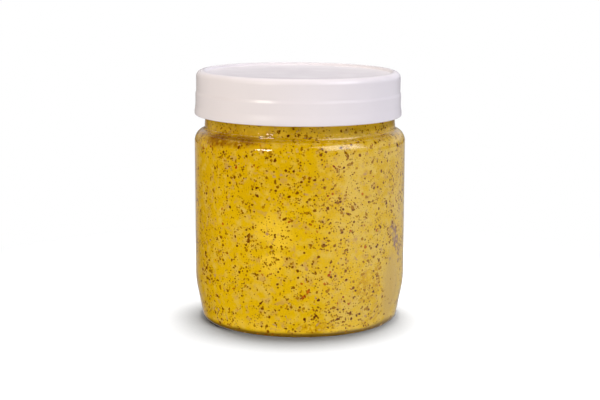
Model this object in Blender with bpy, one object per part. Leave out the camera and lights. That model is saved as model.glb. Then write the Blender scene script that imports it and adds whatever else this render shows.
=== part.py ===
"""Jar of yellow chutney: a clear blown PET jar, its white screw lid and the paste inside.

Run with: blender --background --python part.py
Sizes are in metres, +Z is up, and the origin is the centre of the ring that the jar stands on.
"""

import math

import bmesh
import bpy

MM = 0.001

# The jar's outside
BODY_RADIUS = 35.0 * MM
SHOULDER_TOP = 63.4 * MM
SHOULDER_WIDTH = 3.1 * MM
SHOULDER_DROP = 3.9 * MM
TAPER_TOP = 15.5 * MM
TAPER_ANGLE = math.radians(11.0)
TAPER_BLEND = 28.0 * MM
HEEL_RADIUS = 1.8 * MM
FOOT_WIDTH = 2.2 * MM
PUSH_UP = 3.0 * MM

# The jar's wall and neck
WALL = 0.8 * MM
BORE_RADIUS = 29.1 * MM
BAND_RADIUS = 31.4 * MM
BAND_FILLET = 1.5 * MM
BAND_TOP = 69.4 * MM
FINISH_RADIUS = 30.2 * MM
RIM_HEIGHT = 80.2 * MM
RIM_CHAMFER = 0.3 * MM

# The lid
LID_HEIGHT = 14.45 * MM
LID_TOP_RADIUS = 33.9 * MM
LID_SKIRT_RADIUS = 34.15 * MM
LID_LIP_RADIUS = 34.45 * MM
LID_TOP_FILLET = 2.0 * MM
LID_RING_WIDTH = 2.0 * MM
LID_PANEL_DEPTH = 0.7 * MM
LID_PANEL_SLOPE = 0.5 * MM
LID_STEP_TOP = 9.1 * MM
LID_STEP_FOOT = 6.4 * MM
LID_LIP_TOP = 2.9 * MM
LID_LIP_FOOT = 1.1 * MM
LID_LIP_FILLET = 0.5 * MM
LID_PANEL = 1.3 * MM
LID_BORE_RADIUS = 32.8 * MM
LID_BORE_FILLET = 1.0 * MM

# How the lid sits on the jar: a little to one side and not quite level
LID_FOOT = 68.35 * MM
LID_SHIFT = -0.5 * MM
LID_TILT = math.radians(0.4)

# The thread, on the neck and inside the lid
THREAD_PITCH = 4.0 * MM
THREAD_TURNS = 1.25
THREAD_ROOT = 1.6 * MM
THREAD_CREST = 0.7 * MM
THREAD_SINK = 0.3 * MM
THREAD_FADE = 0.12
NECK_THREAD_RADIUS = 31.6 * MM
NECK_THREAD_FOOT = 72.6 * MM
LID_THREAD_RADIUS = 31.15 * MM

# The paste
PASTE_LEVEL = 74.5 * MM
PASTE_CORNER = 0.6 * MM
GAP = 0.3 * MM

SIDES = 60
SAME_POINT = 0.001 * MM
SHARP_EDGE = math.radians(35)


def clear_scene():
    for item in list(bpy.data.objects):
        bpy.data.objects.remove(item)


def arc(centre, radii, start, end, steps):
    """Points from one angle to another, in degrees, on an ellipse about a centre (radius, height)."""
    angles = [math.radians(start + (end - start) * step / steps) for step in range(steps + 1)]
    return [(centre[0] + radii[0] * math.cos(a), centre[1] + radii[1] * math.sin(a)) for a in angles]


def eased(start, end, steps):
    """Points between two (radius, height) points, on a curve that leaves and arrives straight down."""
    shares = [step / steps for step in range(steps + 1)]
    return [
        (
            start[0] + (end[0] - start[0]) * (1 - math.cos(math.pi * share)) / 2,
            start[1] + (end[1] - start[1]) * share,
        )
        for share in shares
    ]


def foot_radius():
    """Where the heel's arc meets the ground. The arc is tangent to the taper, which starts in the blend."""
    sine, cosine = math.sin(TAPER_ANGLE), math.cos(TAPER_ANGLE)
    taper_radius = BODY_RADIUS - TAPER_BLEND * (1 - cosine)
    taper_height = TAPER_TOP - TAPER_BLEND * sine
    return taper_radius - (HEEL_RADIUS + (taper_height - HEEL_RADIUS) * sine) / cosine


def base_outline(inset):
    """From the axis to the foot: the base's dome and its flat ring, raised by inset."""
    reach = foot_radius() - FOOT_WIDTH + inset * 0.6
    height = PUSH_UP + inset
    start = math.degrees(math.asin(inset / height))
    return arc((0, 0), (reach, height), 90, start, 5)


def side_outline(inset):
    """From the foot to the shoulder's top: heel, taper, straight side and shoulder, moved in by inset."""
    degrees = math.degrees(TAPER_ANGLE)
    heel_centre = (foot_radius(), HEEL_RADIUS)
    heel = HEEL_RADIUS - inset
    blend_centre = (BODY_RADIUS - TAPER_BLEND, TAPER_TOP)
    blend = TAPER_BLEND - inset
    shoulder_centre = (BODY_RADIUS - SHOULDER_WIDTH, SHOULDER_TOP - SHOULDER_DROP)
    shoulder = (SHOULDER_WIDTH - inset, SHOULDER_DROP - inset)
    return [
        *arc(heel_centre, (heel, heel), -90, -degrees, 3),
        *arc(blend_centre, (blend, blend), -degrees, 0, 3),
        *arc(shoulder_centre, shoulder, 0, 90, 6),
    ]


def neck_fillet(radius, inset):
    """From the shoulder's top up into the neck's wall at this radius."""
    centre = (BODY_RADIUS - SHOULDER_WIDTH, SHOULDER_TOP + BAND_FILLET)
    return arc(centre, (centre[0] - radius, BAND_FILLET + inset), 270, 180, 3)[1:]


def cavity_outline(inset):
    """The inside of the jar from the axis up to the neck's bore, a wall's thickness or more from its outside."""
    bore = BORE_RADIUS + WALL - inset
    return base_outline(inset) + side_outline(inset) + neck_fillet(bore, inset)


def jar_outline():
    outside = base_outline(0) + side_outline(0) + neck_fillet(BAND_RADIUS, 0)
    neck = [
        (BAND_RADIUS, BAND_TOP - (BAND_RADIUS - FINISH_RADIUS) / 2),
        (FINISH_RADIUS, BAND_TOP),
        (FINISH_RADIUS, RIM_HEIGHT - RIM_CHAMFER),
        (FINISH_RADIUS - RIM_CHAMFER, RIM_HEIGHT),
        (BORE_RADIUS + RIM_CHAMFER, RIM_HEIGHT),
        (BORE_RADIUS, RIM_HEIGHT - RIM_CHAMFER),
    ]
    return outside + neck + cavity_outline(WALL)[::-1]


def paste_outline():
    paste = cavity_outline(WALL + GAP)
    edge = paste[-1][0]
    surface = [(edge, PASTE_LEVEL - PASTE_CORNER), (edge - PASTE_CORNER, PASTE_LEVEL), (0, PASTE_LEVEL)]
    return paste + surface


def lid_outline():
    """The lid in its own frame, whose origin is the centre of its lower edge."""
    panel_radius = LID_TOP_RADIUS - LID_TOP_FILLET - LID_RING_WIDTH
    panel_height = LID_HEIGHT - LID_PANEL_DEPTH
    ceiling = panel_height - LID_PANEL
    fillet = LID_TOP_FILLET
    lip = LID_LIP_FILLET
    bore = LID_BORE_FILLET
    top_corner = arc((LID_TOP_RADIUS - fillet, LID_HEIGHT - fillet), (fillet, fillet), 90, 0, 4)
    step = eased((LID_TOP_RADIUS, LID_STEP_TOP), (LID_SKIRT_RADIUS, LID_STEP_FOOT), 3)
    flare = eased((LID_SKIRT_RADIUS, LID_LIP_TOP), (LID_LIP_RADIUS, LID_LIP_FOOT), 3)
    edge = arc((LID_LIP_RADIUS - lip, lip), (lip, lip), 0, -90, 3)
    inner_corner = arc((LID_BORE_RADIUS - bore, ceiling - bore), (bore, bore), 0, 90, 3)
    return [
        (0, panel_height),
        (panel_radius - LID_PANEL_SLOPE, panel_height),
        (panel_radius, LID_HEIGHT),
        *top_corner,
        *step,
        *flare,
        *edge,
        (LID_BORE_RADIUS + RIM_CHAMFER, 0),
        (LID_BORE_RADIUS, RIM_CHAMFER),
        *inner_corner,
        (0, ceiling),
    ]


def plastic(name, colour, roughness, transmission=0.0, refraction=1.5):
    material = bpy.data.materials.new(name)
    material.use_nodes = True
    shader = material.node_tree.nodes["Principled BSDF"]
    shader.inputs["Base Color"].default_value = (*colour, 1)
    shader.inputs["Metallic"].default_value = 0
    shader.inputs["Roughness"].default_value = roughness
    shader.inputs["Transmission Weight"].default_value = transmission
    shader.inputs["IOR"].default_value = refraction
    return material


def solid(name, shape, material):
    """An object from a bmesh, with its faces turned outwards and shaded smooth but for its sharp edges."""
    bmesh.ops.recalc_face_normals(shape, faces=shape.faces)
    mesh = bpy.data.meshes.new(name)
    shape.to_mesh(mesh)
    shape.free()
    mesh.shade_smooth()
    mesh.set_sharp_from_angle(angle=SHARP_EDGE)
    if material:
        mesh.materials.append(material)
    item = bpy.data.objects.new(name, mesh)
    bpy.context.scene.collection.objects.link(item)
    return item


def turned(name, outline, material):
    """A solid of revolution about Z, from an outline whose two ends lie on the axis."""
    shape = bmesh.new()
    points = [shape.verts.new((radius, 0, height)) for radius, height in outline]
    edges = [shape.edges.new(pair) for pair in zip(points, points[1:])]
    bmesh.ops.spin(
        shape,
        geom=points + edges,
        cent=(0, 0, 0),
        axis=(0, 0, 1),
        angle=2 * math.pi,
        steps=SIDES,
        use_merge=True,
    )
    bmesh.ops.remove_doubles(shape, verts=shape.verts, dist=SAME_POINT)
    return solid(name, shape, material)


def thread_ridge(name, wall, crest, foot):
    """A ridge that climbs round a wall. Its root is sunk in the wall, and its crest sinks in at both ends."""
    outward = math.copysign(1, crest - wall)
    root = wall - outward * THREAD_SINK
    low = wall - outward * THREAD_SINK / 2
    steps = round(THREAD_TURNS * SIDES)
    shape = bmesh.new()
    sections = []
    for step in range(steps + 1):
        turn = step / SIDES
        rise = min(1, turn / THREAD_FADE, (THREAD_TURNS - turn) / THREAD_FADE)
        top = low + (crest - low) * math.sin(rise * math.pi / 2)
        height = foot + THREAD_PITCH * turn
        corners = [
            (root, height - THREAD_ROOT / 2),
            (top, height - THREAD_CREST / 2),
            (top, height + THREAD_CREST / 2),
            (root, height + THREAD_ROOT / 2),
        ]
        angle = 2 * math.pi * turn
        section = [shape.verts.new((r * math.cos(angle), r * math.sin(angle), z)) for r, z in corners]
        sections.append(section)
    for near, far in zip(sections, sections[1:]):
        for side in range(4):
            after = (side + 1) % 4
            shape.faces.new((near[side], near[after], far[after], far[side]))
    shape.faces.new(sections[0])
    shape.faces.new(sections[-1])
    ridge = solid(name, shape, None)
    ridge.hide_render = True
    ridge.display_type = "WIRE"
    return ridge


def fuse(item, helper):
    union = item.modifiers.new("thread", "BOOLEAN")
    union.operation = "UNION"
    union.solver = "EXACT"
    union.object = helper


def make_jar(pack):
    clear_pet = plastic("clear_pet", (0.93, 0.92, 0.88), 0.04, transmission=1.0, refraction=1.57)
    jar = turned("jar", jar_outline(), clear_pet)
    jar.parent = pack
    thread = thread_ridge("neck_thread", FINISH_RADIUS, NECK_THREAD_RADIUS, NECK_THREAD_FOOT)
    thread.parent = jar
    fuse(jar, thread)


def make_lid(pack):
    white_polypropylene = plastic("white_polypropylene", (0.80, 0.77, 0.79), 0.28)
    lid = turned("lid", lid_outline(), white_polypropylene)
    lid.parent = pack
    lid.location = (LID_SHIFT, 0, LID_FOOT)
    lid.rotation_euler = (0, LID_TILT, 0)
    thread_foot = NECK_THREAD_FOOT - THREAD_PITCH / 2 - LID_FOOT
    thread = thread_ridge("lid_thread", LID_BORE_RADIUS, LID_THREAD_RADIUS, thread_foot)
    thread.parent = lid
    fuse(lid, thread)


def make_paste(pack):
    chutney = plastic("chutney", (0.72, 0.48, 0.01), 0.45)
    paste = turned("chutney", paste_outline(), chutney)
    paste.parent = pack


def make_pack():
    clear_scene()
    pack = bpy.data.objects.new("pack", None)
    bpy.context.scene.collection.objects.link(pack)
    make_jar(pack)
    make_lid(pack)
    make_paste(pack)


make_pack()
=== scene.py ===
import math
import random

import bmesh
import bpy
from mathutils import Matrix, Vector, noise


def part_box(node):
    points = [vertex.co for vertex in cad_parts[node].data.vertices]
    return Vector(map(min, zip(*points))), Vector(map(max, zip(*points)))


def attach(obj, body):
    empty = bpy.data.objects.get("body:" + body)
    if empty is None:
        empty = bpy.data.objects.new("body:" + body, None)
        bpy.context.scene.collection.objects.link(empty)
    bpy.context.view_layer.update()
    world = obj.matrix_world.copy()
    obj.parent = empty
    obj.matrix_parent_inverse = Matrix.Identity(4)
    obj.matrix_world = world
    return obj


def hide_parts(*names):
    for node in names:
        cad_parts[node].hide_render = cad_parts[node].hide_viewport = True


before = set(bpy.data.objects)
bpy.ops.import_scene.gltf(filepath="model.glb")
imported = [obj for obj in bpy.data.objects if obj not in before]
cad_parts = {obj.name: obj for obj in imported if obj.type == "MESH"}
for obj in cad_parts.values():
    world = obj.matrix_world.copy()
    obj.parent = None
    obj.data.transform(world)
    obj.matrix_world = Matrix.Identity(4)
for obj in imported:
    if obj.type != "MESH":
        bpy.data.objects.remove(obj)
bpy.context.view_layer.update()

# The jar
# A clear wide-mouth jar of PET, blown in a mould from a moulded preform, so its wall is thin and a little
# uneven. It stands on the ring round its pushed-up base. The band and the thread of its neck are as moulded.

MM = 0.001

_, jar_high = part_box("jar")
BODY_RADIUS = jar_high.x
RIM_HEIGHT = jar_high.z
SHOULDER_TOP = 63.4 * MM
SHOULDER_WIDTH = 3.1 * MM
SHOULDER_DROP = 3.9 * MM
TAPER_TOP = 15.5 * MM
TAPER_ANGLE = math.radians(11)
TAPER_BLEND = 28 * MM
HEEL_RADIUS = 1.8 * MM
FOOT_WIDTH = 2.2 * MM
PUSH_UP = 3 * MM
PUSH_UP_SPREAD = 0.6
WALL = 0.8 * MM
BORE_RADIUS = 29.1 * MM
BAND_RADIUS = 31.4 * MM
BAND_FOOT = 32.3 * MM
BAND_LEAN = 0.2 * MM
BAND_FILLET = 1.05 * MM
BAND_TOP = 69.4 * MM
# Each rib's foot, how far up from there the band steps in, and by how much.
RIBS = ((64.3 * MM, 0.25 * MM, 0.042 * MM), (65.1 * MM, 0.22 * MM, 0.035 * MM))
NECK_RISE = 4 * MM
BAND_CHAMFER = 0.6 * MM
FINISH_RADIUS = 30.2 * MM
RIM_CHAMFER = 0.3 * MM

THREAD_PITCH = 4 * MM
THREAD_TURNS = 1.25
THREAD_ROOT = 1.6 * MM
THREAD_CREST = 0.7 * MM
THREAD_FADE = 0.12
NECK_THREAD_FOOT = 72.6 * MM
NECK_THREAD_RISE = 1.4 * MM

WALL_ROW = 4 * MM
BAND_ROW = 0.8 * MM
THREAD_ROW = 0.25 * MM
ROUND_SIDES = 360
SHARP_EDGE = math.radians(40)


def arc(centre, radii, start, end, steps):
    """Points from one angle to another, in degrees, on an ellipse about a centre (radius, height)."""
    angles = [math.radians(start + (end - start) * step / steps) for step in range(steps + 1)]
    return [(centre[0] + radii[0] * math.cos(a), centre[1] + radii[1] * math.sin(a)) for a in angles]


def straight(start, end, row):
    """Points from one (radius, height) point to another, about a row's height apart."""
    steps = max(1, round(math.dist(start, end) / row))
    shares = [step / steps for step in range(steps + 1)]
    return [tuple(a + (b - a) * share for a, b in zip(start, end)) for share in shares]


def base_outline(inset):
    """The pushed-up base from the axis to its flat foot, raised by inset, and that foot's outer radius."""
    taper_radius = BODY_RADIUS - TAPER_BLEND * (1 - math.cos(TAPER_ANGLE))
    taper_rise = TAPER_TOP - TAPER_BLEND * math.sin(TAPER_ANGLE) - HEEL_RADIUS
    foot = taper_radius - (HEEL_RADIUS + taper_rise * math.sin(TAPER_ANGLE)) / math.cos(TAPER_ANGLE)
    reach = foot - FOOT_WIDTH + inset * PUSH_UP_SPREAD
    start = math.degrees(math.asin(inset / (PUSH_UP + inset)))
    return arc((0, 0), (reach, PUSH_UP + inset), 90, start, 24), foot


def shoulder_arc(inset):
    """The shoulder, from the straight side up to where it meets the neck, as arc() takes it."""
    centre = (BODY_RADIUS - SHOULDER_WIDTH, SHOULDER_TOP - SHOULDER_DROP)
    end = math.degrees(math.acos((BAND_FOOT - centre[0]) / (SHOULDER_WIDTH - inset)))
    return centre, (SHOULDER_WIDTH - inset, SHOULDER_DROP - inset), 0, end, 14


def side_outline(inset, row):
    """Heel, taper, straight side and shoulder, moved in from the jar's outside by inset."""
    foot = base_outline(0)[1]
    degrees = math.degrees(TAPER_ANGLE)
    heel = arc((foot, HEEL_RADIUS), [HEEL_RADIUS - inset] * 2, -90, -degrees, 10)
    blend = arc((BODY_RADIUS - TAPER_BLEND, TAPER_TOP), [TAPER_BLEND - inset] * 2, -degrees, 0, 12)
    shoulder = arc(*shoulder_arc(inset))
    taper = straight(heel[-1], blend[0], row)[1:-1]
    side = straight(blend[-1], shoulder[0], row)[1:-1]
    return heel + taper + blend + side + shoulder


def neck_fillet(radius, inset, rise):
    """The curve from the shoulder's top up into the neck's wall at this radius."""
    top = arc(*shoulder_arc(inset))[-1][1]
    return arc((BAND_FOOT, top + rise), (BAND_FOOT - radius, rise), 270, 180, 12)[1:]


def eased(start, end, steps):
    """Points between two (radius, height) points, on a curve that leaves and arrives straight down."""
    shares = [step / steps for step in range(steps + 1)]
    return [
        (
            start[0] + (end[0] - start[0]) * (1 - math.cos(math.pi * share)) / 2,
            start[1] + (end[1] - start[1]) * share,
        )
        for share in shares
    ]


def neck_band():
    """The neck's moulded band, which leans in a little and has two fine ribs round its foot."""
    radius = BAND_RADIUS + BAND_LEAN + sum(depth for _, _, depth in RIBS)
    band = neck_fillet(radius, 0, BAND_FILLET)
    for height, fall, depth in RIBS:
        band += eased((radius, height), (radius - depth, height + fall), 8)
        radius -= depth
    return band + straight(band[-1], (BAND_RADIUS, BAND_TOP - BAND_CHAMFER), BAND_ROW)[1:]


def thread_rise(angle, height, foot):
    """How far a thread's ridge stands up here on its wall, from 0 between its turns to 1 on its crest."""
    rise = 0
    for lap in range(math.ceil(THREAD_TURNS)):
        turn = (angle / (2 * math.pi)) % 1 + lap
        away = abs(height - foot - THREAD_PITCH * turn)
        flank = (THREAD_ROOT / 2 - away) / (THREAD_ROOT - THREAD_CREST) * 2
        fade = min(1, turn / THREAD_FADE, (THREAD_TURNS - turn) / THREAD_FADE)
        rise = max(rise, min(1, flank) * max(0, fade))
    return math.sin(rise * math.pi / 2)


def turned(name, outline, angles, relief=None):
    """A closed solid turned about Z, from (radius, height) points whose first and last lie on the axis.

    The angles are where its columns stand. Relief gives a point's radius from its angle, radius and height.
    """
    shape = bmesh.new()
    rings = []
    for radius, height in outline:
        if radius == 0:
            rings.append([shape.verts.new((0, 0, height))] * len(angles))
            continue
        ring = []
        for angle in angles:
            reach = relief(angle, radius, height) if relief else radius
            ring.append(shape.verts.new((reach * math.cos(angle), reach * math.sin(angle), height)))
        rings.append(ring)
    for low, high in zip(rings, rings[1:]):
        for column in range(len(angles)):
            after = (column + 1) % len(angles)
            shape.faces.new(dict.fromkeys((low[column], low[after], high[after], high[column])))
    bmesh.ops.recalc_face_normals(shape, faces=shape.faces)
    mesh = bpy.data.meshes.new(name)
    shape.to_mesh(mesh)
    shape.free()
    mesh.shade_smooth()
    mesh.set_sharp_from_angle(angle=SHARP_EDGE)
    piece = bpy.data.objects.new(name, mesh)
    bpy.context.scene.collection.objects.link(piece)
    return piece


def all_round(sides):
    """The angles of a turned piece's columns, evenly spaced."""
    return [2 * math.pi * side / sides for side in range(sides)]


def jar_outline():
    """Out along the underside, up the outside, over the rim and back down inside to the middle."""
    base, _ = base_outline(0)
    inner_base, _ = base_outline(WALL)
    neck_foot = (FINISH_RADIUS, BAND_TOP)
    neck_head = (FINISH_RADIUS, RIM_HEIGHT - RIM_CHAMFER)
    return [
        (0, PUSH_UP),
        *base[1:],
        *side_outline(0, WALL_ROW),
        *neck_band(),
        *straight(neck_foot, neck_head, THREAD_ROW),
        (FINISH_RADIUS - RIM_CHAMFER, RIM_HEIGHT),
        (BORE_RADIUS + RIM_CHAMFER, RIM_HEIGHT),
        (BORE_RADIUS, RIM_HEIGHT - RIM_CHAMFER),
        *neck_fillet(BORE_RADIUS, WALL, NECK_RISE)[::-1],
        *side_outline(WALL, WALL_ROW)[::-1],
        *inner_base[:0:-1],
        (0, PUSH_UP + WALL),
    ]


def neck_thread(angle, radius, height):
    """The neck's wall with its thread, which is moulded in one with it."""
    if radius == FINISH_RADIUS and height > BAND_TOP:
        return radius + NECK_THREAD_RISE * thread_rise(angle, height, NECK_THREAD_FOOT)
    return radius


def linear(colour):
    """A screen colour, written as six hex digits, as the linear colour that a shader takes."""
    shares = [int(colour[place : place + 2], 16) / 255 for place in (0, 2, 4)]
    return (*[s / 12.92 if s <= 0.04045 else ((s + 0.055) / 1.055) ** 2.4 for s in shares], 1)


def node(owner, kind, settings=None, inputs=None):
    """Adds a shader node to a material or the world, with its settings.

    An input, given by name or place, takes a value, a socket, or a node, whose first output it then reads.
    """
    tree = owner.node_tree
    made = tree.nodes.new("ShaderNode" + kind)
    for name, value in (settings or {}).items():
        setattr(made, name, value)
    for name, value in (inputs or {}).items():
        socket = made.inputs[name] if isinstance(name, int) else next(
            s for s in made.inputs if s.enabled and s.name == name
        )
        if isinstance(value, bpy.types.Node):
            value = next(s for s in value.outputs if s.enabled)
        if isinstance(value, bpy.types.NodeSocket):
            tree.links.new(value, socket)
        else:
            socket.default_value = value
    return made


def new_material(name):
    made = bpy.data.materials.new(name)
    made.use_nodes = True
    made.node_tree.nodes.clear()
    return made


def millimetres_on(material):
    """The place on a piece in millimetres, from which its material's patterns are laid out."""
    place = node(material, "TexCoord").outputs["Object"]
    return node(material, "VectorMath", {"operation": "SCALE"}, {"Vector": place, "Scale": 1 / MM})


# Blown PET: clear with a faint straw cast, glossy, and wavy over a centimetre or so, which bends its
# highlights. Lamps reach the chutney straight through the wall, as they do through so thin a film of plastic.
PET_WAVE = 14
PET_WAVE_HEIGHT = 0.012 * MM
blown_pet = new_material("blown PET")
millimetres = millimetres_on(blown_pet)
wave = node(blown_pet, "TexNoise", {}, {"Vector": millimetres, "Scale": 1 / PET_WAVE, "Detail": 1.0})
wavy = node(blown_pet, "Bump", {}, {"Height": wave.outputs["Fac"], "Distance": PET_WAVE_HEIGHT})
pet = node(
    blown_pet,
    "BsdfPrincipled",
    {},
    {
        "Base Color": linear("FBF9F2"),
        "Roughness": 0.08,
        "IOR": 1.57,
        "Transmission Weight": 1.0,
        "Normal": wavy,
    },
)
film = node(blown_pet, "BsdfTransparent")
path = node(blown_pet, "LightPath")
inner = node(blown_pet, "MixShader", {}, {0: path.outputs["Is Diffuse Ray"], 1: pet, 2: film})
lit = node(blown_pet, "MixShader", {}, {0: path.outputs["Is Shadow Ray"], 1: inner, 2: film})
node(blown_pet, "OutputMaterial", {}, {"Surface": lit})

jar = turned("clear_jar", jar_outline(), all_round(ROUND_SIDES), neck_thread)
jar.data.materials.append(blown_pet)
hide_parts("jar")
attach(jar, "root")

# The chutney
# A thick moist paste of ground mustard, filled right up into the neck. It wets the wall, so it shows no gloss
# of its own, and its colour carries painted shade, painted light and a painted reflection besides its own
# colour.
# Low on the right it is crumbly, with golden oil in the pockets.

_, paste_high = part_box("chutney")
PASTE_LEVEL = paste_high.z
PASTE_CORNER = 0.6 * MM
PASTE_REACH = 0.05 * MM
PASTE_ROW = 0.6 * MM
PASTE_FINE_ROW = 0.22 * MM
PASTE_FINE_TOP = 24 * MM
PASTE_COLUMN = 1.25
PASTE_FINE_COLUMN = 0.42
PASTE_FINE_SIDE = (-4, 68)
RELIEF_FROM = 5 * MM
UNEVEN = 0.01 * MM
POCKET_DEPTH = 0.04 * MM
CRUMB = 1.7 * MM
CRUMB_WARP = 0.45
CRUMB_GAP = 0.07
CRUMB_GAP_MORE = 0.26
FOLD_STEP = 1.5
FOLD_DEPTH = 0.6

# Spots on the wall: each has its strength, its degrees round to the right from the front, its height, and its
# reach across and up, in millimetres. A spot is whole out to this share of its reach, and fades from there.
SPOT_CORE = 0.45
POCKET_SPOTS = (
    (1, 39.5, 15.5, 6.2, 6.8),
    (1, 47, 20, 2.4, 4.2),
    (1, 10, 3.6, 8, 2.4),
    (1, 41, 3.2, 3, 1.8),
)
CRUMBLY_SPOTS = (
    (1, 39.5, 15.5, 7.5, 8),
    (1, 46, 7, 4, 5),
    (1, 10, 3.6, 9, 3),
    (1, 41, 3.2, 4, 2.4),
)
DEEP_SPOTS = (
    (1, -70, 40, 15, 70),
    (0.8, 64, 52, 16, 24),
)
# The second of these is painted light, low at the front of the foot.
LIGHT_SPOTS = (
    (1, -15, 31, 9, 13),
    (0.6, -4, 2.5, 34, 6),
)
# Painted shade: a darker band on the shoulder and neck at the left.
PAINTED_SHADE_SPOTS = (
    (1, -51, 62.2, 8.5, 3.1),
    (0.8, -36, 62.3, 11, 2.4),
    (0.25, -44, 65.4, 14, 3.2),
)
BRUISE_SPOTS = (
    (1, 60.5, 33, 2.6, 3.6),
    (1, 64.5, 28.5, 3, 4.6),
    (1, 69, 24, 2.6, 4),
    (0.8, 57.5, 22.8, 1.1, 1.8),
    (0.5, 6.4, 30.8, 1.6, 0.9),
)


def smooth(low, high, value):
    """0 below low and 1 above high, with a soft change between them."""
    share = min(1, max(0, (value - low) / (high - low)))
    return share * share * (3 - 2 * share)


def degrees_round(point):
    """Degrees round the jar to a point, counted to the right from the front."""
    return math.degrees(math.atan2(point.x, -point.y))


def spot(point, degrees, height, width, rise):
    """How much a point belongs to a spot on the wall: 1 in its middle and 0 from its edge on."""
    round_to = degrees_round(point) - degrees
    across = math.radians((round_to + 180) % 360 - 180) * BODY_RADIUS / (width * MM)
    up = (point.z - height * MM) / (rise * MM)
    return 1 - smooth(SPOT_CORE, 1, math.hypot(across, up))


def strongest(point, spots):
    """How much a point belongs to the strongest of these spots."""
    return max(strength * spot(point, *place) for strength, *place in spots)


def ripple(point, size, octaves=1, shift=0.0):
    """A smooth random value from about -1 to 1 that changes over this many millimetres.

    A shift, in metres, takes it from another part of the same noise.
    """
    return noise.fractal((point + Vector((shift, 0, 0))) / (size * MM), 1.0, 2.0, octaves)


def crumbs(point):
    """The gaps between crumbs, 0 to 1, along the borders of ragged cells: wide in some, shut in others."""
    warp = Vector([ripple(point, 1.1, 2, shift) for shift in (0, 0.2, 0.4)])
    distances, _ = noise.voronoi(point / CRUMB + CRUMB_WARP * warp)
    width = CRUMB_GAP + CRUMB_GAP_MORE * smooth(-0.3, 0.4, ripple(point, 2.2, 1, 0.6))
    return 1 - smooth(0.3 * width, width, distances[1] - distances[0])


def folds(point):
    """Creases that slant up to the right, where the chutney was folded against the wall low on the right."""
    along = math.radians(degrees_round(point)) * BODY_RADIUS / MM
    slant = (along - point.z / MM) / math.sqrt(2) + 0.3 * ripple(point, 2)
    crease = smooth(0.35, 1, math.cos(2 * math.pi * slant / FOLD_STEP))
    return spot(point, 48.5, 6.2, 3.2, 3.8) * crease


def pockets(point):
    """Where oil lies between the chutney and the wall: crumbly gaps and a few folds low down, from 0 to 1."""
    folded = FOLD_DEPTH * folds(point)
    area = strongest(point, POCKET_SPOTS)
    return max(smooth(0.15, 0.6, area) * crumbs(point), folded) if area else folded


def crumbly(point):
    """Where the chutney is crumbly, from 0 to 1: round its pockets of oil and low at the front."""
    return strongest(point, CRUMBLY_SPOTS)


def deepness(point):
    """How deep a yellow the chutney is, 0 to 1: in its upper half, at both sides and where it is crumbly."""
    oily = smooth(36, 52, point.z / MM + 5 * ripple(point, 9, 2, 0.1))
    broken = crumbly(point) * smooth(-0.25, 0.2, ripple(point, 1.8, 2, 0.7))
    return max(oily, strongest(point, DEEP_SPOTS), broken)


def lightness_and_painted_light(point):
    """How light a yellow the chutney is, 0 to 1: a patch left of the middle, and painted light at its foot
    and neck.
    """
    # Painted light in the neck, which lies in the lid's shade.
    in_neck = 0.8 * smooth(63.5, 65, point.z / MM)
    return max(strongest(point, LIGHT_SPOTS), in_neck) * smooth(-0.5, 0.3, ripple(point, 5, 2, 0.9))


def shadiness(point):
    """How shady the chutney's foot is, 0 to 1: where its heel turns under, and higher at the right."""
    top = 2.4 + 0.6 * ripple(point, 4) + spot(point, 60, 2, 10, 6)
    return smooth(top, 1, point.z / MM)


def paleness_and_painted_reflection(point):
    """How pale the chutney is, 0 to 1: stirred oil and turmeric, and a painted reflection of the room."""
    stirred = point + Vector((0.35 * point.z, 0, 0)) + 4 * MM * Vector((ripple(point, 12), 0, 0))
    bands = ripple(stirred, 9, 3)
    # Painted reflection: paler in a column left of the middle and towards the right, and less pale where the
    # room mirrored is dark, in a wedge high near the middle, at the left and high on the right.
    degrees = degrees_round(point)
    wedge = spot(point, -12, 54, 24, 22)
    left = 1 - smooth(-42, -24, degrees) if degrees > -110 else 0
    right = spot(point, 64, 54, 16, 22)
    side = smooth(8, 34, degrees)
    column = spot(point, -27, 48, 5, 14)
    dull = 0.5 * wedge + 0.35 * left + 0.35 * right + 0.5 * crumbly(point)
    return min(1, max(0, 0.2 + 0.8 * bands + 0.5 * side + 0.3 * column - dull))


def darkness(point):
    """Painted shade on the chutney, from 0 to 1: a patchy darker band on the shoulder and neck at the left.
    """
    patchy = 0.72 + 0.7 * ripple(point, 1.1, 3, 0.5)
    return min(1, max(0, strongest(point, PAINTED_SHADE_SPOTS) * patchy))


def smear(point):
    """A smear at the lower right, wiped smooth against the wall and bare of bits, from 0 to 1."""
    return spot(point, 60, 14, 7, 15)


def bruise_and_crease_shade(point):
    """Mauve-grey husk rubbed in at the right, a small blotch of it in front, and painted shade in fold
    creases, 0 to 1.
    """
    ragged = smooth(-0.3, 0.2, ripple(point, 1.2, 3, 0.3))
    streak = spot(point, 64, 32, 0.8, 2.6)
    # The folds' creases are greyed as painted shade.
    return min(1, max(strongest(point, BRUISE_SPOTS) * ragged, streak, 0.35 * folds(point)))


def paste_relief(angle, radius, height):
    """The chutney's radius: flush with the wall, a little uneven, and set back in its pockets."""
    if radius < RELIEF_FROM:
        return radius
    point = Vector((radius * math.cos(angle), radius * math.sin(angle), height))
    return radius + UNEVEN * ripple(point, 3) - POCKET_DEPTH * pockets(point)


def paste_outline():
    """From the middle of the base up the wall to the level in the neck, with finer rows low down."""
    inset = WALL - PASTE_REACH
    base, _ = base_outline(inset)
    side = side_outline(inset, PASTE_ROW)
    low = [place for place in side if place[1] < PASTE_FINE_TOP]
    fine = [low[0]]
    for place in low[1:]:
        fine += straight(fine[-1], place, PASTE_FINE_ROW)[1:]
    neck = neck_fillet(BORE_RADIUS + PASTE_REACH, inset, NECK_RISE)
    edge = neck[-1][0]
    return [
        (0, base[0][1]),
        *base[1:],
        *fine,
        *side[len(low) :],
        *neck,
        *straight(neck[-1], (edge, PASTE_LEVEL - PASTE_CORNER), PASTE_ROW)[1:],
        (edge - PASTE_CORNER, PASTE_LEVEL),
        (edge / 2, PASTE_LEVEL),
        (0, PASTE_LEVEL),
    ]


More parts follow.
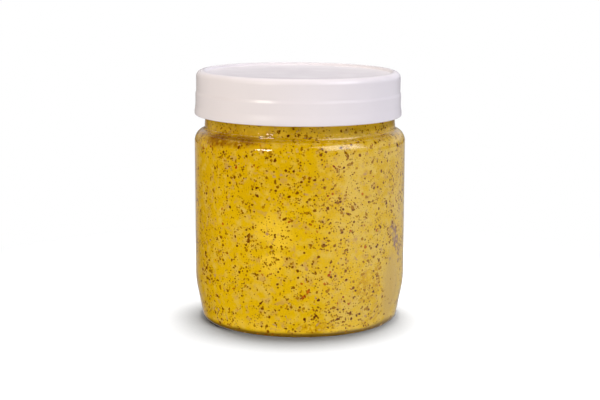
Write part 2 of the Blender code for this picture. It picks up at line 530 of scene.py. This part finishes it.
def paste_columns():
    """Columns round the chutney, closer on the side with the pockets. Degrees count right from the front."""
    degrees = PASTE_FINE_SIDE[0]
    columns = []
    while degrees < PASTE_FINE_SIDE[0] + 360 - PASTE_COLUMN / 2:
        columns.append(math.radians(degrees - 90))
        degrees += PASTE_FINE_COLUMN if degrees < PASTE_FINE_SIDE[1] else PASTE_COLUMN
    return columns


chutney = turned("chutney_paste", paste_outline(), paste_columns(), paste_relief)
marks = {
    "paleness_and_painted_reflection": paleness_and_painted_reflection,
    "darkness": darkness,
    "deepness": deepness,
    "lightness_and_painted_light": lightness_and_painted_light,
    "shadiness": shadiness,
    "pocket": pockets,
    "smear": smear,
    "bruise_and_crease_shade": bruise_and_crease_shade,
}
for name, rule in marks.items():
    layer = chutney.data.attributes.new(name, "FLOAT", "POINT")
    for vertex, value in zip(chutney.data.vertices, layer.data):
        value.value = rule(vertex.co)

# Ground mustard paste: turmeric yellow, mealy to 0.35 mm, blotched paler where more oil was stirred in, and
# peppered with specks of husk that lie just under its face. It wets the wall, so it has no shine of its own.
# Its paleness also holds a painted reflection of the room, and its colour holds painted shade at the upper
# left, at its foot and in the folds' creases, and painted light at its foot and in the neck.
# The sizes of its patterns are in millimetres, and NOISE_SPAN holds the values that a noise mostly keeps to.
MEAL = 0.35
GRIT_HEIGHT = 0.05 * MM
BLOTCH = 2.4
SPECK_SPACING = 0.78
SPECK_REACH = 0.42
SPECK_CORE = 0.45
SPECK_DRIFT = (0.25, 0.25, 0.25)
DRIFTS_PER_MM = 1.1
CROWD = 6
DUST = 2.2
STROKES_PER_MM = (0.9, 0.9, 0.12)
NOISE_SPAN = {"From Min": 0.3, "From Max": 0.7}
mustard_paste = new_material("ground mustard paste")
millimetres = millimetres_on(mustard_paste)
mark = {name: node(mustard_paste, "Attribute", {"attribute_name": name}).outputs["Fac"] for name in marks}
meal = node(mustard_paste, "TexNoise", {}, {"Vector": millimetres, "Scale": 1 / MEAL, "Detail": 2.0})
blotch = node(mustard_paste, "TexNoise", {}, {"Vector": millimetres, "Scale": 1 / BLOTCH, "Detail": 4.0})
broken = node(
    mustard_paste,
    "MapRange",
    {"clamp": False},
    {"Value": blotch, **NOISE_SPAN, "To Min": -0.7, "To Max": 0.7},
)
uneven = node(
    mustard_paste, "Math", {"operation": "ADD", "use_clamp": True}, {0: mark["paleness_and_painted_reflection"], 1: broken}
)
oily = node(mustard_paste, "Math", {"operation": "MULTIPLY"}, {0: mark["deepness"], 1: 0.75})
stretched = node(mustard_paste, "VectorMath", {"operation": "MULTIPLY"}, {0: millimetres, 1: STROKES_PER_MM})
strokes = node(mustard_paste, "TexNoise", {}, {"Vector": stretched, "Scale": 1.0, "Detail": 2.0})
wiped = node(
    mustard_paste,
    "Mix",
    {"data_type": "RGBA"},
    {"Factor": strokes, "A": linear("CBA84E"), "B": linear("BA9848")},
)
cloud = node(mustard_paste, "TexNoise", {}, {"Vector": millimetres, "Scale": 1 / DUST, "Detail": 3.0})
dusty = node(
    mustard_paste,
    "MapRange",
    {"interpolation_type": "SMOOTHSTEP"},
    {"Value": cloud, "From Min": 0.54, "From Max": 0.7, "To Max": 0.5},
)
colour = linear("D4AB04")
for share, over in (
    (oily, linear("CAA000")),
    # The paleness mark carries the stirred oil and a painted reflection.
    (uneven, linear("D3B044")),
    # A lighter patch, and painted light at the foot and in the neck.
    (mark["lightness_and_painted_light"], linear("E4BC2E")),
    (dusty, linear("B58A52")),
    (mark["pocket"], linear("C49600")),
    # Painted shade, in a band on the shoulder and neck at the left.
    (mark["darkness"], linear("864F00")),
    (mark["smear"], wiped),
    # Mauve-grey husk, and painted shade in the folds' creases.
    (mark["bruise_and_crease_shade"], linear("86665A")),
    (mark["shadiness"], linear("6E5210")),
):
    colour = node(mustard_paste, "Mix", {"data_type": "RGBA"}, {"Factor": share, "A": colour, "B": over})

drift = node(mustard_paste, "TexNoise", {}, {"Vector": millimetres, "Scale": DRIFTS_PER_MM, "Detail": 2.0})
drifted = node(
    mustard_paste,
    "VectorMath",
    {"operation": "MULTIPLY_ADD"},
    {0: drift.outputs["Color"], 1: SPECK_DRIFT, 2: millimetres},
)
specks = node(mustard_paste, "TexVoronoi", {}, {"Vector": drifted, "Scale": 1 / SPECK_SPACING})
drawn = node(mustard_paste, "SeparateColor", {}, {"Color": specks.outputs["Color"]})
crowd = node(mustard_paste, "TexNoise", {}, {"Vector": millimetres, "Scale": 1 / CROWD, "Detail": 1.0})
crowded = node(
    mustard_paste,
    "MapRange",
    {},
    {"Value": crowd, "From Min": 0.35, "From Max": 0.6, "To Min": 0.45 * SPECK_REACH, "To Max": SPECK_REACH},
)
reach = node(mustard_paste, "Math", {"operation": "MULTIPLY"}, {0: drawn.outputs["Red"], 1: crowded})
core = node(mustard_paste, "Math", {"operation": "MULTIPLY"}, {0: reach, 1: SPECK_CORE})
speck = node(
    mustard_paste,
    "MapRange",
    {"interpolation_type": "SMOOTHSTEP"},
    {"Value": specks.outputs["Distance"], "From Min": reach, "From Max": core},
)
bare = node(mustard_paste, "Math", {"operation": "SUBTRACT"}, {0: 1.0, 1: mark["smear"]})
shown = node(mustard_paste, "Math", {"operation": "MULTIPLY"}, {0: speck, 1: bare})
husk = node(
    mustard_paste,
    "Mix",
    {"data_type": "RGBA"},
    {"Factor": drawn.outputs["Green"], "A": linear("643604"), "B": linear("A88004")},
)
colour = node(mustard_paste, "Mix", {"data_type": "RGBA"}, {"Factor": shown, "A": colour, "B": husk})
shade = node(
    mustard_paste,
    "MapRange",
    {},
    {"Value": meal, **NOISE_SPAN, "To Min": 0.93, "To Max": 1.05},
)
mealy = node(mustard_paste, "VectorMath", {"operation": "SCALE"}, {"Vector": colour, "Scale": shade})
grit = node(mustard_paste, "Bump", {}, {"Height": meal, "Distance": GRIT_HEIGHT, "Strength": 0.5})
paste_shader = node(
    mustard_paste,
    "BsdfPrincipled",
    {},
    {"Base Color": mealy, "Roughness": 0.6, "Specular IOR Level": 0.0, "Normal": grit},
)
node(mustard_paste, "OutputMaterial", {}, {"Surface": paste_shader})

chutney.data.materials.append(mustard_paste)
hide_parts("chutney")
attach(chutney, "root")

# The bits in the chutney
# Broken husks of brown mustard seed, a little crushed red chilli and pale shreds of seed, all pressed flat
# against the wall. Each is a thin curled flake with a ragged edge, and they lie in loose clusters.

SKIN_ROW = 2 * MM
FLAKE_RIM = 0.03 * MM
FLAKE_TOP = 0.06 * MM
FLAKE_CURL = 0.35
FLAKE_JITTER = 0.3
BUNCH_STEP = 0.8 * MM
SMEAR_BARE = 0.9


def chutney_skin():
    """The chutney's outline from the middle of its base up to the neck's band."""
    inset = WALL - PASTE_REACH
    neck = neck_fillet(BORE_RADIUS + PASTE_REACH, inset, NECK_RISE)
    top = (neck[-1][0], BAND_TOP)
    return base_outline(inset)[0] + side_outline(inset, SKIN_ROW) + neck + [top]


def skin_place(skin, reach, angle):
    """The place this far along the skin's outline and this far round, and the way out of the chutney."""
    for low, high in zip(skin, skin[1:]):
        length = math.dist(low, high)
        if reach < length:
            break
        reach -= length
    share = min(1, max(0, reach / length)) if length else 0
    radius, height = (a + (b - a) * share for a, b in zip(low, high))
    slope = Vector((high[1] - low[1], low[0] - high[0])).normalized()
    round_to = Vector((math.cos(angle), math.sin(angle), 0))
    outward = round_to * slope.x + Vector((0, 0, slope.y))
    centre = round_to * radius + Vector((0, 0, height))
    return centre - outward * POCKET_DEPTH * pockets(centre), outward


def reach_to(skin, height):
    """How far along the skin's outline its side comes up to this height."""
    reach = 0
    for low, high in zip(skin, skin[1:]):
        if low[1] <= height < high[1]:
            return reach + math.dist(low, high) * (height - low[1]) / (high[1] - low[1])
        reach += math.dist(low, high)
    return reach


def flake(shape, layer, centre, outward, size, draw, kind):
    """One flake, lying flat on the skin: a ragged curled leaf, raised in its middle and closed underneath."""
    any_way = Vector((draw.uniform(-1, 1), draw.uniform(-1, 1), draw.uniform(-1, 1)))
    along = outward.cross(any_way).normalized()
    across = outward.cross(along)
    corners = draw.randint(6, 7)
    curl = draw.uniform(-FLAKE_CURL, FLAKE_CURL)
    tint = draw.uniform(0, 1) ** kind["darkness"]
    long = kind["length"] ** draw.uniform(-0.2, 1)
    rim = []
    for corner in range(corners):
        turn = 2 * math.pi * (corner + draw.uniform(-FLAKE_JITTER, FLAKE_JITTER)) / corners
        reach = size / 2 * draw.uniform(1 - kind["ragged"], 1 + kind["ragged"])
        forward = reach * long * math.cos(turn)
        aside = reach / long * math.sin(turn) + curl * forward * forward / size
        rim.append(shape.verts.new(centre + along * forward + across * aside + outward * FLAKE_RIM))
    top = shape.verts.new(centre + outward * FLAKE_TOP)
    under = shape.verts.new(centre - outward * FLAKE_TOP)
    for near, far in zip(rim, rim[1:] + rim[:1]):
        shape.faces.new((near, far, top))
        shape.faces.new((far, near, under))
    for vertex in (*rim, top, under):
        vertex[layer] = tint


def scatter(name, material, kind):
    """Many flakes of one kind in one mesh: first those whose places are given, then the rest by seeded draws.

    A given place has degrees round to the right from the front, and the height and the flake's size in
    millimetres. Drawn sizes are log-normal. Bunching says how unevenly the flakes lie, from 0 to 1, and shift
    where their crowds are: husks and shreds crowd together, and chilli has places of its own.
    """
    draw = random.Random(name)
    skin = chutney_skin()
    whole = sum(math.dist(low, high) for low, high in zip(skin, skin[1:]))
    shape = bmesh.new()
    layer = shape.verts.layers.float.new("tint")
    for degrees, height, size in kind["placed"]:
        centre, outward = skin_place(skin, reach_to(skin, height * MM), math.radians(degrees - 90))
        flake(shape, layer, centre, outward, size * MM, draw, kind)
    made = 0
    while made < kind["count"]:
        reach, angle = draw.uniform(0, whole), draw.uniform(0, 2 * math.pi)
        centre, _ = skin_place(skin, reach, angle)
        radius = centre.xy.length
        crowd = smooth(-0.3, 0.4, ripple(centre, 6, 2, kind["shift"]))
        bunched = 1 - kind["bunching"] * (1 - crowd)
        wanted = radius / BODY_RADIUS * bunched * (1 - SMEAR_BARE * smear(centre))
        if draw.random() > wanted:
            continue
        for _ in range(draw.choice(kind["bunches"])):
            centre, outward = skin_place(skin, reach, angle)
            size = min(kind["largest"], kind["size"] * math.exp(draw.gauss(0, kind["spread"])))
            flake(shape, layer, centre, outward, size, draw, kind)
            made += 1
            reach += draw.gauss(0, BUNCH_STEP)
            angle += draw.gauss(0, BUNCH_STEP) / max(radius, BUNCH_STEP)
    bmesh.ops.recalc_face_normals(shape, faces=shape.faces)
    mesh = bpy.data.meshes.new(name)
    shape.to_mesh(mesh)
    shape.free()
    mesh.materials.append(material)
    piece = bpy.data.objects.new(name, mesh)
    bpy.context.scene.collection.objects.link(piece)
    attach(piece, "root")


def bit_material(name, dark, light):
    """A dull dry bit, from dark where it lies bare at the wall to light where a film of paste covers it."""
    made = new_material(name)
    film = node(made, "Attribute", {"attribute_name": "tint"}).outputs["Fac"]
    colour = node(made, "Mix", {"data_type": "RGBA"}, {"Factor": film, "A": linear(dark), "B": linear(light)})
    shader = node(
        made, "BsdfPrincipled", {}, {"Base Color": colour, "Roughness": 0.5, "Specular IOR Level": 0.0}
    )
    node(made, "OutputMaterial", {}, {"Surface": shader})
    return made


HUSKS = {
    "count": 11700,
    "size": 0.4 * MM,
    "spread": 0.5,
    "largest": 1.1 * MM,
    "ragged": 0.2,
    "length": 1.2,
    "darkness": 1.15,
    "bunching": 0.75,
    "bunches": (1, 1, 1, 1, 2, 2, 3),
    "shift": 11,
    "placed": (
        (-4.9, 55.1, 0.8),
        (-5.5, 54.1, 0.6),
        (28.8, 42, 1.3),
        (29.6, 41.4, 0.9),
        (48.8, 52.6, 1),
        (31.1, 54.6, 0.9),
        (21.1, 55.4, 1),
        (11.5, 57.8, 0.8),
        (29.7, 16, 1.1),
        (8.5, 21.6, 0.9),
        (15.4, 16.2, 0.8),
        (18.6, 30.3, 1),
        (48.6, 26.2, 0.9),
        (46.5, 19.3, 0.9),
        (46, 18.5, 0.8),
        (10, 27, 1),
        (11.1, 38, 0.6),
        (12.3, 38.1, 0.6),
        (12.7, 37.4, 0.6),
        (12.2, 36.7, 0.6),
    ),
}
CHILLI = HUSKS | {
    "count": 500,
    "size": 0.38 * MM,
    "length": 1.8,
    "darkness": 1,
    "bunching": 0.9,
    "shift": 13,
    "placed": (
        (1.2, 18.4, 0.9),
        (4.3, 15.8, 1.3),
        (4.9, 16.4, 0.8),
        (1.7, 13.9, 1.1),
        (2.9, 14.3, 0.9),
        (0.8, 13.6, 0.6),
        (13.2, 18.2, 0.9),
        (14.6, 18.5, 0.5),
        (-5.5, 38.3, 0.9),
        (-4.8, 39, 0.6),
        (14.7, 46.4, 0.7),
        (17.4, 46.9, 0.8),
        (15.8, 45.4, 0.6),
        (35, 46.1, 1),
        (27.7, 34.7, 0.8),
        (37.3, 28.8, 1.2),
    ),
}
SHREDS = HUSKS | {
    "count": 600,
    "size": 0.5 * MM,
    "length": 1.8,
    "bunching": 0.5,
    "bunches": (1, 1, 2),
    "placed": (),
}

brown_husk = bit_material("brown mustard husk", "5E2802", "AC7A02")
crushed_chilli = bit_material("crushed red chilli", "841E06", "BC6C08")
seed_shred = bit_material("pale seed shred", "B28A54", "CCA43E")
scatter("husk_flakes", brown_husk, HUSKS)
scatter("chilli_flakes", crushed_chilli, CHILLI)
scatter("seed_shreds", seed_shred, SHREDS)

# The lid
# A white screw lid of polypropylene, injection moulded with its thread inside. Its top panel is sunk in a
# raised ring, and its skirt widens at a soft step and again at its lower lip. It sits a hair to the left and
# not quite level.

LID_HEIGHT = 14.61 * MM
LID_TOP_RADIUS = 33.8 * MM
LID_SKIRT_RADIUS = 34.05 * MM
LID_LIP_RADIUS = 34.35 * MM
LID_TOP_FILLET = 2 * MM
LID_RING_WIDTH = 0.3 * MM
LID_PANEL_DEPTH = 0.9 * MM
LID_PANEL_SLOPE = 1.3 * MM
LID_STEP_TOP = 8.22 * MM
LID_STEP_FOOT = 6.77 * MM
LID_LIP_TOP = 3.7 * MM
LID_LIP_FOOT = 1 * MM
LID_LIP_FILLET = 0.5 * MM
LID_PANEL = 1.3 * MM
LID_BORE_RADIUS = 32.8 * MM
LID_BORE_FILLET = 1 * MM
LID_THREAD_RISE = 1.65 * MM
LID_FOOT = 68.16 * MM
LID_SHIFT = -0.6 * MM
LID_TILT = math.radians(0.4)


def lid_outline():
    """From the panel's middle over the ring, down the skirt and back up inside, in the lid's own frame."""
    fillet, lip, bore = LID_TOP_FILLET, LID_LIP_FILLET, LID_BORE_FILLET
    ring_radius = LID_TOP_RADIUS - fillet - LID_RING_WIDTH
    panel_height = LID_HEIGHT - LID_PANEL_DEPTH
    ceiling = panel_height - LID_PANEL
    thread_foot = (LID_BORE_RADIUS, RIM_CHAMFER)
    thread_head = (LID_BORE_RADIUS, ceiling - bore)
    slope = eased((panel_height, ring_radius - LID_PANEL_SLOPE), (LID_HEIGHT, ring_radius), 10)
    return [
        (0, panel_height),
        (ring_radius / 2, panel_height),
        *[(radius, height) for height, radius in slope],
        *arc((LID_TOP_RADIUS - fillet, LID_HEIGHT - fillet), (fillet, fillet), 90, 0, 16),
        *eased((LID_TOP_RADIUS, LID_STEP_TOP), (LID_SKIRT_RADIUS, LID_STEP_FOOT), 10),
        *eased((LID_SKIRT_RADIUS, LID_LIP_TOP), (LID_LIP_RADIUS, LID_LIP_FOOT), 10),
        *arc((LID_LIP_RADIUS - lip, lip), (lip, lip), 0, -90, 8),
        (LID_BORE_RADIUS + RIM_CHAMFER, 0),
        *straight(thread_foot, thread_head, THREAD_ROW),
        *arc((LID_BORE_RADIUS - bore, ceiling - bore), (bore, bore), 0, 90, 6)[1:],
        (0, ceiling),
    ]


def lid_thread(angle, radius, height):
    """The skirt's inside with its thread."""
    if radius == LID_BORE_RADIUS and height > RIM_CHAMFER:
        foot = NECK_THREAD_FOOT - THREAD_PITCH / 2 - LID_FOOT
        return radius - LID_THREAD_RISE * thread_rise(angle, height, foot)
    return radius


# Moulded polypropylene: white with a faint rosy cast, satin gloss, and finely grained from the mould. The
# grain of 0.4 mm is only enough to soften the highlights, which also change a little over some 9 mm.
PP_GRAIN = 0.4
PP_GRAIN_HEIGHT = 0.0004 * MM
PP_CLOUD = 9
moulded_pp = new_material("moulded white polypropylene")
millimetres = millimetres_on(moulded_pp)
grain = node(moulded_pp, "TexNoise", {}, {"Vector": millimetres, "Scale": 1 / PP_GRAIN, "Detail": 1.0})
cloud = node(moulded_pp, "TexNoise", {}, {"Vector": millimetres, "Scale": 1 / PP_CLOUD, "Detail": 2.0})
white = node(
    moulded_pp, "Mix", {"data_type": "RGBA"}, {"Factor": cloud, "A": linear("D6CFD2"), "B": linear("DAD3D6")}
)
satin = node(moulded_pp, "MapRange", {}, {"Value": cloud, **NOISE_SPAN, "To Min": 0.23, "To Max": 0.26})
grained = node(moulded_pp, "Bump", {}, {"Height": grain, "Distance": PP_GRAIN_HEIGHT})
pp = {"Base Color": white, "Roughness": satin, "IOR": 1.49, "Normal": grained}
node(moulded_pp, "OutputMaterial", {}, {"Surface": node(moulded_pp, "BsdfPrincipled", {}, pp)})

lid = turned("screw_lid", lid_outline(), all_round(ROUND_SIDES), lid_thread)
lid.data.materials.append(moulded_pp)
lid.location = (LID_SHIFT, 0, LID_FOOT)
lid.rotation_euler = (0, LID_TILT, 0)
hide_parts("lid")
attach(lid, "root")

# The table and the lights
# A grey sheet under the jar, lit hard by lamps of its own so that it turns white and the jar throws no colour
# on it. The jar has two small warm lamps at the left front, a softbox at the right front and weak fills all
# round, and it mirrors a room that is lit from the right.

SHEET_HALF = 3.0
SHEET_FADE = (0.09, 0.16)

# Matt paper: even, with clumps of fibre 1.4 mm apart that barely show. It glows an even white past the fade,
# and to light that bounces off the jar.
FIBRE_CLUMP = MM / 0.7
grey_paper = new_material("matt grey paper, lit white")
place = node(grey_paper, "TexCoord").outputs["Object"]
fibre = node(grey_paper, "TexNoise", {}, {"Vector": place, "Scale": 1 / FIBRE_CLUMP, "Detail": 2.0})
grey = node(
    grey_paper, "Mix", {"data_type": "RGBA"}, {"Factor": fibre, "A": linear("5F5F5F"), "B": linear("636363")}
)
paper = node(grey_paper, "BsdfDiffuse", {}, {"Color": grey})
glow = node(grey_paper, "Emission", {}, {"Color": (1, 1, 1, 1), "Strength": 1.0})
away = node(grey_paper, "VectorMath", {"operation": "LENGTH"}, {"Vector": place}).outputs["Value"]
fade = node(
    grey_paper,
    "MapRange",
    {"interpolation_type": "SMOOTHSTEP"},
    {"Value": away, "From Min": SHEET_FADE[0], "From Max": SHEET_FADE[1]},
)
lit = node(grey_paper, "MixShader", {}, {0: fade, 1: paper, 2: glow})
bounced = node(grey_paper, "LightPath").outputs["Is Diffuse Ray"]
sheet_shader = node(grey_paper, "MixShader", {}, {0: bounced, 1: lit, 2: glow})
node(grey_paper, "OutputMaterial", {}, {"Surface": sheet_shader})

outline = bmesh.new()
ends = (-SHEET_HALF, SHEET_HALF)
corners = [outline.verts.new((x, y if x < 0 else -y, 0)) for x in ends for y in ends]
outline.faces.new(corners)
sheet_mesh = bpy.data.meshes.new("paper_sheet")
outline.to_mesh(sheet_mesh)
outline.free()
sheet_mesh.materials.append(grey_paper)
sheet = bpy.data.objects.new("paper_sheet", sheet_mesh)
sheet.visible_glossy = False
sheet.visible_shadow = False
bpy.context.scene.collection.objects.link(sheet)

on_sheet = bpy.data.collections.new("lit by the sheet's lamps")
on_sheet.objects.link(sheet)
on_jar = bpy.data.collections.new("lit by the jar's lamps")
on_jar.objects.link(sheet)
on_jar.collection_objects[0].light_linking.link_state = "EXCLUDE"

LAMP_DISTANCE = 1.2
JAR_MIDDLE = Vector((0, 0, 0.05))
WARM = "FFF6E6"
COOL = "F2F5FF"
FAINTLY_COOL = "F7F9FF"
NEUTRAL = "FFFFFF"


def lamp(name, azimuth, elevation, width, height, brightness, colour, lights=on_jar, distance=LAMP_DISTANCE):
    """A rectangular lamp that faces the jar. Azimuth counts right from the front; its size is in degrees."""
    data = bpy.data.lights.new(name, "AREA")
    data.shape = "RECTANGLE"
    data.size = 2 * distance * math.tan(math.radians(width / 2))
    data.size_y = 2 * distance * math.tan(math.radians(height / 2))
    data.energy = brightness * data.size * data.size_y * math.pi
    data.color = linear(colour)[:3]
    made = bpy.data.objects.new(name, data)
    round_to, up = math.radians(azimuth), math.radians(elevation)
    towards = Vector((math.sin(round_to) * math.cos(up), -math.cos(round_to) * math.cos(up), math.sin(up)))
    made.location = JAR_MIDDLE + towards * distance
    made.rotation_euler = towards.to_track_quat("Z", "Y").to_euler()
    made.visible_camera = False
    made.light_linking.receiver_collection = lights
    bpy.context.scene.collection.objects.link(made)
    return made


lamp("lamp_left", -35.7, 19.5, 10, 9, 19, WARM)
lamp("lamp_left_small", -46, 18.5, 5, 9, 19, WARM)
for name, azimuth, elevation, width, height, brightness, colour in (
    ("fill_low_left", -50, 10, 30, 16, 3.4, WARM),
    ("fill_left", -45, 35, 26, 24, 3.7, WARM),
    ("fill_high_left", -45, 60, 26, 24, 0.6, WARM),
    ("fill_far_left", -95, 50, 40, 30, 1.5, WARM),
    ("fill_right", 60, 35, 30, 24, 7.9, COOL),
    ("fill_high_right", 30, 60, 24, 24, 1.4, COOL),
    ("fill_far_right", 100, 50, 40, 30, 0.9, COOL),
    ("fill_top", 180, 75, 24, 24, 8, NEUTRAL),
    ("fill_back", 180, 60, 60, 30, 1, NEUTRAL),
    ("fill_from_table", 0, -30, 60, 30, 0.5, NEUTRAL),
):
    lamp(name, azimuth, elevation, width, height, brightness, colour).visible_glossy = False

# The softbox shows only as a highlight. It is five lamps, each smaller and a little farther off than the one
# before, so that it fades towards its edges.
SOFTBOX_LAYERS = 5
SOFTBOX_SHRINK = 0.1
SOFTBOX_GAP = 0.02
for layer in range(SOFTBOX_LAYERS):
    share = 1 - SOFTBOX_SHRINK * layer
    distance = LAMP_DISTANCE + SOFTBOX_GAP * layer
    name = f"softbox_right_{layer}"
    box = lamp(name, 53, 38.5, 50 * share, 42 * share, 0.85, FAINTLY_COOL, distance=distance)
    box.visible_diffuse = False
for name, azimuth, elevation, width, height, brightness in (
    ("sheet_back", 180, 79, 34, 24, 87),
    ("sheet_overhead", 180, 86, 10, 10, 372),
    ("sheet_low_right", 45, 8, 30, 12, 200),
    ("sheet_right", 90, 70, 20, 20, 15),
    ("sheet_back_right", 135, 66, 24, 24, 8),
):
    lamp(name, azimuth, elevation, width, height, brightness, NEUTRAL, on_sheet)

# The room, as the jar and the lid mirror it: the bright table and walls at the right, dimmer at the back and
# dark at the left and in front, with a dark gap above the table's far edge and two windows behind the jar's
# sides. Both tables below give where each part of it is dark and where it is at its brightest.
ROOM_LEAST = 0.02
world = bpy.data.worlds.new("room")
bpy.context.scene.world = world
world.use_nodes = True
world.node_tree.nodes.clear()
direction = node(world, "TexCoord").outputs["Generated"]
upward = node(world, "SeparateXYZ", {}, {"Vector": direction}).outputs["Z"]
softly = {"interpolation_type": "SMOOTHSTEP"}

table, wall, window, ceiling = [
    node(world, "MapRange", softly, {"Value": upward, "From Min": dark, "From Max": bright})
    for dark, bright in ((-0.085, -0.125), (0.04, 0.14), (-0.12, 0.0), (0.6, 0.35))
]
table_and_wall = node(world, "Math", {"operation": "ADD"}, {0: table, 1: wall})
lit = 0.0
for azimuth, dark, bright, most, rows in (
    (80, 0.3, 0.97, 0.62, table_and_wall),
    (170, 0.55, 0.95, 0.4, table_and_wall),
    (-148, 0.78, 0.95, 0.18, window),
    (148, 0.78, 0.95, 0.35, window),
):
    along = (math.sin(math.radians(azimuth)), -math.cos(math.radians(azimuth)), 0)
    product = node(world, "VectorMath", {"operation": "DOT_PRODUCT"}, {0: direction, 1: along})
    facing = product.outputs["Value"]
    side = node(
        world, "MapRange", softly, {"Value": facing, "From Min": dark, "From Max": bright, "To Max": most}
    )
    lit = node(world, "Math", {"operation": "MULTIPLY_ADD"}, {0: side, 1: rows, 2: lit})
level = node(world, "Math", {"operation": "MULTIPLY_ADD"}, {0: lit, 1: ceiling, 2: ROOM_LEAST})
room = node(world, "Background", {}, {"Color": linear("F8F7FF"), "Strength": level})
backdrop = node(world, "Background", {}, {"Color": (1, 1, 1, 1), "Strength": 1.0})
seen = node(world, "LightPath").outputs["Is Camera Ray"]
shown = node(world, "MixShader", {}, {0: seen, 1: room, 2: backdrop})
node(world, "OutputWorld", {}, {"Surface": shown})

bpy.context.scene.view_settings.view_transform = "Standard"

# The camera
# It looks down a little on the jar from its front, through a short telephoto lens, as the photo was taken.

CAMERA_PLACE = (0.1 * MM, -480 * MM, 124.6 * MM)
CAMERA_PITCH = math.radians(10.1)
CAMERA_ROLL = math.radians(0.12)
LENS = 87
SENSOR_WIDTH = 36

camera = bpy.data.objects.new("camera", bpy.data.cameras.new("camera"))
camera.data.lens = LENS
camera.data.sensor_width = SENSOR_WIDTH
camera.data.clip_start = 0.01
tilt = Matrix.Rotation(math.pi / 2 - CAMERA_PITCH, 4, "X") @ Matrix.Rotation(CAMERA_ROLL, 4, "Z")
camera.matrix_world = Matrix.Translation(CAMERA_PLACE) @ tilt
bpy.context.scene.collection.objects.link(camera)
bpy.context.scene.camera = camera
